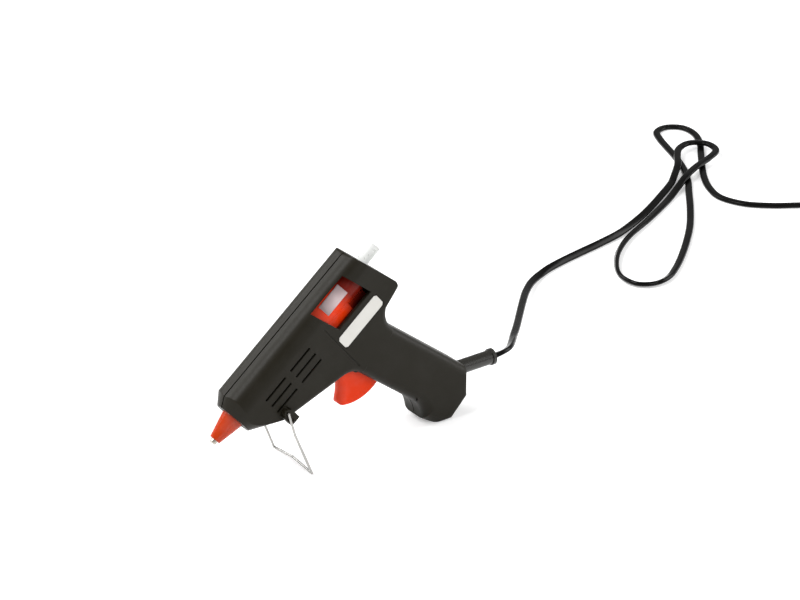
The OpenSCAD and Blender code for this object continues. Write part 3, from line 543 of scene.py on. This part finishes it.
def sweep(bm, path, section, rolls):
    """Tube of a flat section, rolled about its path, along a path that never stands upright."""
    rings = []
    last = len(path) - 1
    for i, (at, roll) in enumerate(zip(path, rolls)):
        along = (path[min(i + 1, last)] - path[max(i - 1, 0)]).normalized()
        level = Vector((0, 0, 1)).cross(along).normalized()
        rise = along.cross(level)
        side = level * math.cos(roll) + rise * math.sin(roll)
        up = rise * math.cos(roll) - level * math.sin(roll)
        rings.append([bm.verts.new(at + side * x + up * z) for x, z in section])
    count = len(section)
    for first, second in zip(rings, rings[1:]):
        for k in range(count):
            bm.faces.new((first[k], first[(k + 1) % count], second[(k + 1) % count], second[k]))
    bm.faces.new(rings[0])
    bm.faces.new(rings[-1])


def sweep_toe_edge(bm, side):
    """Cutter that leaves a round edge along the hollow between the grip front and the toe."""
    s = sizes()
    lean = math.radians(GRIP_LEAN)
    across = Vector((math.cos(lean), 0, math.sin(lean)))
    down = Vector((math.sin(lean), 0, -math.cos(lean)))
    turn = math.acos(1 - TOE_OUT / TOE_R)
    middle = (across * (GRIP_FRONT - TOE_R) + down * (TOE_END - TOE_R * math.sin(turn))) * MM
    hollow, edge, wide = (TOE_R + HOLLOW_ROOM) * MM, (GRIP_EDGE_R + EDGE_ROOM) * MM, s.half_width
    outline = [(hollow - MM, wide + MM), (hollow - MM, wide - edge)]
    for k in range(EDGE_STEPS + 1):
        swing = math.radians(90 * k / EDGE_STEPS)
        outline.append((hollow + edge * (1 - math.cos(swing)), wide - edge * (1 - math.sin(swing))))
    outline.append((hollow + edge, wide + MM))
    verts = [bm.verts.new(middle + across * r + Vector((0, side * y, 0))) for r, y in outline]
    face = bm.faces.new(verts)
    bmesh.ops.spin(bm, geom=[face], cent=middle, axis=across.cross(down), dvec=(0, 0, 0),
                   angle=turn + math.radians(TOE_PAST), steps=TOE_STEPS, use_merge=False)
    bmesh.ops.transform(bm, matrix=barrel_to_world(), verts=bm.verts)
    bmesh.ops.recalc_face_normals(bm, faces=bm.faces)


# Operators

class APPLICATOR_OT_stage(bpy.types.Operator):
    """Floor, lamps, world and camera"""

    bl_idname = "applicator.stage"
    bl_label = "Stage"

    def execute(self, context):
        scene = context.scene
        s = sizes()
        scene.view_settings.view_transform = "Standard"
        turn, rise = s.camera_turn, s.camera_rise
        back = Vector((math.sin(turn) * math.cos(rise), -math.cos(turn) * math.cos(rise), math.sin(rise)))
        right = Vector((math.cos(turn), math.sin(turn), 0))
        up = back.cross(right)
        data = bpy.data.cameras.new("Camera")
        data.lens = s.lens
        data.sensor_width = SENSOR
        data.sensor_fit = "HORIZONTAL"
        data.clip_end = CLIP_END
        camera = bpy.data.objects.new("Camera", data)
        turned = Matrix((right, up, back)).transposed().to_4x4()
        camera.matrix_world = Matrix.Translation(s.camera_at) @ turned
        scene.collection.objects.link(camera)
        scene.camera = camera
        self.floor(scene)
        for lamp in LAMPS:
            self.lamp(scene, *lamp)
        self.sky(scene)
        return {"FINISHED"}

    @staticmethod
    def floor(scene):
        """Pale floor that shows white to the camera and keeps the shadow."""
        bm = bmesh.new()
        bmesh.ops.create_grid(bm, x_segments=1, y_segments=1, size=FLOOR_HALF)
        bmesh.ops.translate(bm, verts=bm.verts, vec=(0, 0, -FLOOR_DROP))
        mesh = bpy.data.meshes.new("Studio floor")
        bm.to_mesh(mesh)
        bm.free()
        material = bpy.data.materials.new("Studio floor")
        material.use_nodes = True
        tree = material.node_tree
        shader = tree.nodes["Principled BSDF"]
        shader.inputs["Base Color"].default_value = (*colours().floor, 1.0)
        shader.inputs["Roughness"].default_value = FLOOR_ROUGH
        shader.inputs["Specular IOR Level"].default_value = FLOOR_GLOSS
        glow = tree.nodes.new("ShaderNodeEmission")
        path = tree.nodes.new("ShaderNodeLightPath").outputs
        mirrored = combine(tree, "MAXIMUM", path["Is Glossy Ray"], path["Is Transmission Ray"])
        seen = combine(tree, "MAXIMUM", path["Is Camera Ray"], mirrored)
        tree.links.new(combine(tree, "MULTIPLY", seen, FLOOR_GLOW), glow.inputs["Strength"])
        add = tree.nodes.new("ShaderNodeAddShader")
        tree.links.new(shader.outputs[0], add.inputs[0])
        tree.links.new(glow.outputs[0], add.inputs[1])
        tree.links.new(add.outputs[0], tree.nodes["Material Output"].inputs["Surface"])
        mesh.materials.append(material)
        floor = bpy.data.objects.new("studio_floor", mesh)
        scene.collection.objects.link(floor)

    @staticmethod
    def lamp(scene, name, at, size, power):
        """Soft square lamp that faces the object."""
        data = bpy.data.lights.new(name, "AREA")
        data.energy = power
        data.size = size
        lamp = bpy.data.objects.new(name, data)
        lamp.location = at
        lamp.rotation_euler = (Vector(LAMP_AIM) - Vector(at)).to_track_quat("-Z", "Y").to_euler()
        scene.collection.objects.link(lamp)

    @staticmethod
    def sky(scene):
        """Even soft light from all round, white to the camera."""
        world = bpy.data.worlds.new("Studio")
        world.use_nodes = True
        tree = world.node_tree
        plain = tree.nodes["Background"]
        plain.inputs["Color"].default_value = (1, 1, 1, 1)
        plain.inputs["Strength"].default_value = SKY_LIGHT
        bright = tree.nodes.new("ShaderNodeBackground")
        bright.inputs["Strength"].default_value = 1.0
        mix = tree.nodes.new("ShaderNodeMixShader")
        path = tree.nodes.new("ShaderNodeLightPath")
        tree.links.new(path.outputs["Is Camera Ray"], mix.inputs["Fac"])
        tree.links.new(plain.outputs[0], mix.inputs[1])
        tree.links.new(bright.outputs[0], mix.inputs[2])
        tree.links.new(mix.outputs[0], tree.nodes["World Output"].inputs["Surface"])
        scene.world = world


class APPLICATOR_OT_lead(bpy.types.Operator):
    """Flat mains lead with its sleeve, coil tie and plug"""

    bl_idname = "applicator.lead"
    bl_label = "Lead"

    def execute(self, context):
        c = colours()
        skin = finish_material("Black lead", c.lead, fade=0.01, rough=(0.13, 0.22), wear=0.4, grain=0.01,
                               Specular_IOR_Level=0.09)
        rubber = finish_material("Black sleeve", c.sleeve, fade=0.01, rough=(0.24, 0.29), wear=0.4,
                                 grain=0.004, Specular_IOR_Level=0.5)
        pins = finish_material("Plated pins", c.brass, fade=0.2, rough=(0.18, 0.34), wear=0.4, grain=0.01,
                               edge=0.2 * MM, Metallic=1.0)
        path = [p * MM for p in smooth_path([Vector(p) for p in ROUTE], ROUTE_STEPS) + coil_path()]
        rolls = [lead_roll(i / ROUTE_STEPS) for i in range(len(path))]
        section = lead_section(LEAD_SIDES)
        for at, roll in zip(path, rolls):
            reach = max(x * math.sin(roll) + z * math.cos(roll) for x, z in section)
            at.z = max(at.z, reach + LEAD_ROOM * MM)
        bm = bmesh.new()
        sweep(bm, path, section, rolls)
        lead = make_piece("flat_lead", bm, skin, "casing")
        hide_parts("cord", "cord_coil")
        dress(["cord", "cord_coil", "coil_tie"], skin)
        dress(["strain_relief", "plug_body"], rubber)
        dress(["plug_pins"], pins)
        return {"FINISHED"}


class APPLICATOR_OT_casing(bpy.types.Operator):
    """Casing halves and the clamp inside the butt"""

    bl_idname = "applicator.casing"
    bl_label = "Casing"

    def execute(self, context):
        c = colours()
        moulded = finish_material("Casing moulding", c.casing, fade=0.008, rough=(0.36, 0.46), wear=0.5,
                                  grain=0.05, edge=0.6 * MM, Specular_IOR_Level=0.118)
        dress(["left_shell", "right_shell", "cord_clamp"], moulded)
        for node, side in (("left_shell", -1.0), ("right_shell", 1.0)):
            self.blend_toe(context, node, side, moulded)
        return {"FINISHED"}

    @staticmethod
    def blend_toe(context, node, side, material):
        """Copy of a casing half whose grip edge runs round into the toe of the butt."""
        bm = merged_copy(node)
        bmesh.ops.dissolve_limit(bm, angle_limit=math.radians(FLAT_LIMIT), verts=bm.verts, edges=bm.edges)
        half = make_piece(node.replace("shell", "casing"), bm, material, "casing")
        bm = bmesh.new()
        sweep_toe_edge(bm, side)
        mesh = bpy.data.meshes.new("toe_edge")
        bm.to_mesh(mesh)
        bm.free()
        tool = bpy.data.objects.new("toe_edge", mesh)
        context.scene.collection.objects.link(tool)
        cut = half.modifiers.new("Toe edge", "BOOLEAN")
        cut.operation = "DIFFERENCE"
        cut.solver = "EXACT"
        cut.object = tool
        shaped = apply_modifiers(context, half)
        bpy.data.objects.remove(tool)
        even_normals(shaped, CASING_SHARP)
        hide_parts(node)


class APPLICATOR_OT_plates(bpy.types.Operator):
    """Blank plate in the side pocket and blank sticker on the carriage"""

    bl_idname = "applicator.plates"
    bl_label = "Blank plates"

    def execute(self, context):
        c = colours()
        film = finish_material("Blank plate", c.plate, fade=0.15, rough=(0.4, 0.55), wear=0.6, grain=0.02)
        paper = finish_material("Blank sticker", c.sticker, fade=0.2, rough=(0.35, 0.5), wear=0.6, grain=0.02)
        self.plate(film)
        self.sticker(paper)
        return {"FINISHED"}

    @staticmethod
    def plate(material):
        """Thin plate with cut corners in the side pocket."""
        bm = bmesh.new()
        bmesh.ops.create_cube(bm, size=1.0, matrix=Matrix.Diagonal((*(v * MM for v in PLATE_SIZE), 1.0)))
        corners = [e for e in bm.edges if e.verts[0].co.y * e.verts[1].co.y < 0]
        bmesh.ops.bevel(bm, geom=corners, offset=PLATE_CORNER * MM, affect="EDGES", segments=1, profile=0.5,
                        material=-1)
        place = (PLATE_X * MM, -sizes().half_width + PLATE_SUNK * MM, PLATE_Z * MM)
        bmesh.ops.translate(bm, verts=bm.verts, vec=place)
        bmesh.ops.transform(bm, matrix=barrel_to_world(), verts=bm.verts)
        plate = make_piece("side_plate", bm, material, "casing")
        for polygon in plate.data.polygons:
            polygon.use_smooth = False

    @staticmethod
    def sticker(material):
        """Sticker that lies round the carriage."""
        bm = bmesh.new()
        radius = sizes().carriage_r + STICKER_LIFT * MM
        first = math.radians(STICKER_FROM)
        at = (-radius * math.sin(first), radius * math.cos(first))
        ends = [bm.verts.new((x * MM, *at)) for x in STICKER_ENDS]
        edge = bm.edges.new(ends)
        bmesh.ops.spin(bm, geom=[*ends, edge], cent=(0, 0, 0), axis=(1, 0, 0), dvec=(0, 0, 0),
                       angle=-math.radians(STICKER_TURN), steps=STICKER_STEPS, use_merge=False)
        bmesh.ops.transform(bm, matrix=barrel_to_world(), verts=bm.verts)
        bmesh.ops.recalc_face_normals(bm, faces=bm.faces)
        bmesh.ops.solidify(bm, geom=bm.faces, thickness=STICKER_THICK * MM)
        make_piece("carriage_sticker", bm, material, "feed")


class APPLICATOR_OT_nozzle(bpy.types.Operator):
    """Nozzle, its soft cover and the heater inside"""

    bl_idname = "applicator.nozzle"
    bl_label = "Nozzle and heater"

    def execute(self, context):
        c = colours()
        soft = finish_material("Nozzle cover", c.cover, fade=0.1, rough=(0.16, 0.28), wear=0.5, grain=0.015,
                               edge=0.4 * MM, Specular_IOR_Level=0.26, Subsurface_Weight=0.1,
                               Subsurface_Scale=3 * MM)
        alloy = finish_material("Cast alloy", c.alloy, fade=0.2, rough=(0.28, 0.5), wear=0.5, grain=0.05,
                                edge=0.3 * MM, Metallic=1.0)
        ceramic = finish_material("Heater ceramic", c.natural, fade=0.3, rough=(0.5, 0.7), wear=0.5,
                                  grain=0.05)
        grey = finish_material("Grey bush", c.bush, fade=0.108, rough=(0.5, 0.7), wear=0.5, grain=0.04)
        dress(["nozzle_cover"], soft)
        dress(["nozzle_tip", "melt_chamber"], alloy)
        dress(["heater_plate", "heater_leads", "stick_guide"], ceramic)
        dress(["front_bush"], grey)
        return {"FINISHED"}


class APPLICATOR_OT_feed(bpy.types.Operator):
    """Trigger, feed carriage and glue stick"""

    bl_idname = "applicator.feed"
    bl_label = "Trigger and feed"

    def execute(self, context):
        c = colours()
        orange = finish_material("Orange moulding", c.orange, fade=0.08, rough=(0.15, 0.25), wear=0.5,
                                 grain=0.015, edge=1.2 * MM, Specular_IOR_Level=0.11)
        glue = finish_material("Clear glue", c.glue, fade=0.5, rough=(0.25, 0.35), wear=0.5, grain=0.0,
                               Transmission_Weight=0.35, IOR=1.25)
        # Painted shade: the back of the carriage inside the window is darkened along the barrel
        painted_shade = (c.carriage_painted_shade, [v * MM for v in CARRIAGE_SHADE_SPAN])
        carriage_with_painted_shade = finish_material("Carriage moulding with painted shade", c.orange, fade=0.08, rough=(0.2, 0.3), wear=0.5,
                                 grain=0.015, edge=0.8 * MM, painted_shade=painted_shade, Specular_IOR_Level=0.12)
        dress(["trigger"], orange)
        dress(["feed_carriage"], carriage_with_painted_shade)
        self.round_trigger(context, orange)
        dress(["glue_stick"], glue)
        return {"FINISHED"}

    @staticmethod
    def round_trigger(context, material):
        """Copy of the trigger whose edges are softly rounded below the casing."""
        bm = merged_copy("trigger")
        trigger = make_piece("rounded_trigger", bm, material, "trigger")
        even = trigger.modifiers.new("Even mesh", "REMESH")
        even.mode = "VOXEL"
        even.voxel_size = TRIGGER_VOXEL * MM
        shaped = apply_modifiers(context, trigger)
        pivot = barrel_to_world() @ (Vector(PIVOT) * MM)
        bm = bmesh.new()
        bm.from_mesh(shaped)
        below = [v for v in bm.verts if v.co.z < pivot.z]
        sector = [v for v in below if math.hypot(v.co.x - pivot.x, v.co.z - pivot.z) > TRIGGER_HUB_R * MM]
        for _ in range(TRIGGER_PASSES):
            bmesh.ops.smooth_vert(bm, verts=sector, factor=0.5, use_axis_x=True, use_axis_y=True,
                                  use_axis_z=True)
        bm.to_mesh(shaped)
        bm.free()
        shaped.shade_smooth()
        shaped.set_sharp_from_angle(angle=math.radians(TRIGGER_SHARP))
        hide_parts("trigger")


class APPLICATOR_OT_metal(bpy.types.Operator):
    """Wire stand, pin, screws, crimps, grip washer and return spring"""

    bl_idname = "applicator.metal"
    bl_label = "Wire and screws"

    def execute(self, context):
        c = colours()
        steel = finish_material("Drawn steel", c.steel, fade=0.2, rough=(0.18, 0.34), wear=0.5, grain=0.02,
                                edge=0.2 * MM, Metallic=1.0)
        dress(["wire_stand", "trigger_pin", "casing_screws", "clamp_screws", "return_spring", "stick_grip",
               "lead_crimps"], steel)
        self.fit_spring(steel)
        return {"FINISHED"}

    @staticmethod
    def fit_spring(material):
        """Copy of the return spring that rides on no body, with its place baked into its mesh."""
        bm = merged_copy("return_spring")
        spring = make_piece("feed_spring", bm, material, None)
        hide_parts("return_spring")
        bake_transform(spring)


class APPLICATOR_PT_panel(bpy.types.Panel):
    """Applicator tools in the sidebar"""

    bl_idname = "APPLICATOR_PT_panel"
    bl_label = "Glue Applicator"
    bl_space_type = "VIEW_3D"
    bl_region_type = "UI"
    bl_category = "Glue Applicator"

    def draw(self, context):
        for operator in OPERATORS:
            self.layout.operator(operator.bl_idname)
        for group in (sizes(), colours()):
            for label in group.bl_rna.properties.keys():
                if label not in ("rna_type", "name"):
                    self.layout.prop(group, label)


OPERATORS = (APPLICATOR_OT_stage, APPLICATOR_OT_lead, APPLICATOR_OT_casing, APPLICATOR_OT_plates,
             APPLICATOR_OT_nozzle, APPLICATOR_OT_feed, APPLICATOR_OT_metal)
CLASSES = (ApplicatorSizes, ApplicatorColours, *OPERATORS, APPLICATOR_PT_panel)


def register():
    """Adds the classes and the scene settings."""
    for item in CLASSES:
        bpy.utils.register_class(item)
    bpy.types.Scene.applicator_sizes = bpy.props.PointerProperty(type=ApplicatorSizes)
    bpy.types.Scene.applicator_colours = bpy.props.PointerProperty(type=ApplicatorColours)


def unregister():
    """Removes what register added."""
    del bpy.types.Scene.applicator_colours
    del bpy.types.Scene.applicator_sizes
    for item in reversed(CLASSES):
        bpy.utils.unregister_class(item)


def main():
    """Makes the scene."""
    register()
    bpy.ops.applicator.stage()
    bpy.ops.applicator.lead()
    bpy.ops.applicator.casing()
    bpy.ops.applicator.plates()
    bpy.ops.applicator.nozzle()
    bpy.ops.applicator.feed()
    bpy.ops.applicator.metal()


if __name__ == "__main__":
    main()
